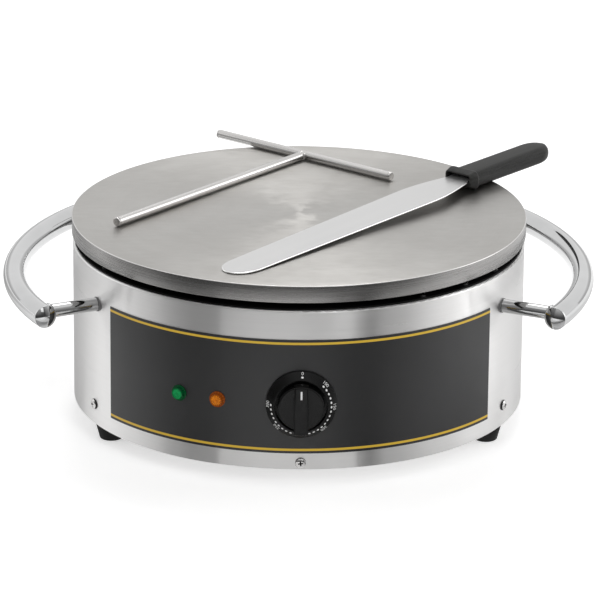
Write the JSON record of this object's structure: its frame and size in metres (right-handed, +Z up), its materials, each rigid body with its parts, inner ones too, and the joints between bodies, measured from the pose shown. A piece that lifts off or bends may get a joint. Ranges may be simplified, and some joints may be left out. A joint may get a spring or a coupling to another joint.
{
  "type": "electric crepe maker",
  "caption": "Round electric crepe griddle: cast-iron plate on a brushed steel drum with a thermostat dial, pilot lights and tube handles; a T-shaped spreader and a long spatula lie on it.",
  "frame": {"origin": "on the counter, on the drum's axis", "axes": "+Z up; -Y is the front with the dial; +X is the user's right, towards the right handle"},
  "size_m": [0.521, 0.4452, 0.1983],
  "materials": {
    "cast_iron": "turned and seasoned, brushed, satin",
    "drum_steel": "brushed round the drum",
    "chrome_tube": "polished",
    "bright_steel": "bright zinc",
    "plain_sheet": "mill finish",
    "panel_film": "fine matt grain",
    "dial_black": "semi gloss",
    "knob_black": "semi gloss",
    "pointer_white": "inlaid paint",
    "green_lens": "clear moulded",
    "orange_lens": "clear moulded",
    "lamp_nylon": "moulded",
    "foot_rubber": "matt",
    "washer_rubber": "matt",
    "element_sheath": "oxidised nickel alloy",
    "ceramic": "unglazed steatite",
    "brass": "plain",
    "copper": "plain copper",
    "insulation_wool": "ceramic fibre blanket",
    "black_enamel": "heat-proof black coating",
    "phenolic": "moulded",
    "gland_nylon": "moulded",
    "wire_brown": "silicone sleeve",
    "wire_blue": "silicone sleeve",
    "wire_grey": "silicone sleeve",
    "wire_green": "silicone sleeve",
    "rod_steel": "ground stainless rod",
    "blade_steel": "fine ground, satin",
    "grip_black": "moulded, satin"
  },
  "bodies": {
    "cooker": {"griddle_plate": "cast_iron", "plate_studs": "bright_steel", "plate_spacers": "bright_steel", "stud_nuts": "bright_steel", "heating_element": "element_sheath", "element_clamp": "plain_sheet", "clamp_bolt": "bright_steel", "element_bushes": "ceramic", "element_pins": "brass", "sensor_bulb": "copper", "bulb_clip": "plain_sheet", "capillary_tube": "copper", "insulation_pad": "insulation_wool", "shield_pan": "black_enamel", "shield_screws": "bright_steel", "safety_cutout": "phenolic", "body_shell": "drum_steel", "drum_top_ring": "drum_steel", "control_panel": "panel_film", "dial_ring": "dial_black", "thermostat_body": "lamp_nylon", "thermostat_nut": "bright_steel", "power_lens": "green_lens", "heating_lens": "orange_lens", "power_lamp_body": "lamp_nylon", "heating_lamp_body": "lamp_nylon", "handle_right": "chrome_tube", "handle_left": "chrome_tube", "handle_caps": "chrome_tube", "handle_posts": "chrome_tube", "post_washers": "washer_rubber", "post_screws": "bright_steel", "base_pan": "plain_sheet", "side_screws": "bright_steel", "base_screws": "bright_steel", "clinch_nuts": "bright_steel", "foot_front_left": "foot_rubber", "foot_front_right": "foot_rubber", "foot_rear_left": "foot_rubber", "foot_rear_right": "foot_rubber", "foot_screws": "bright_steel", "foot_nuts": "bright_steel", "cable_gland": "gland_nylon", "gland_cap": "gland_nylon", "gland_nut": "gland_nylon", "terminal_block": "ceramic", "earth_stud": "brass", "supply_wires": "wire_brown", "element_wires": "wire_blue", "lamp_wires": "wire_grey", "earth_wire": "wire_green"},
    "control_knob": {"thermostat_shaft": "bright_steel", "knob": "knob_black", "knob_pointer": "pointer_white"},
    "spreader": {"spreader_cross_rod": "rod_steel", "spreader_handle_rod": "rod_steel"},
    "spatula": {"spatula_blade": "blade_steel", "spatula_handle": "grip_black"}
  },
  "joints": [
    {"name": "knob_turn", "type": "hinge", "parent": "cooker", "child": "control_knob", "pos_m": [0, -0.205, 0.0756], "axis": [0, 1, 0], "range_deg": [0, 270]},
    {"name": "spreader_lift", "type": "slide", "parent": "cooker", "child": "spreader", "axis": [0, 0, 1], "range_m": [0, 0.15]},
    {"name": "spatula_lift", "type": "slide", "parent": "cooker", "child": "spatula", "axis": [0, 0, 1], "range_m": [0, 0.15]}
  ]
}
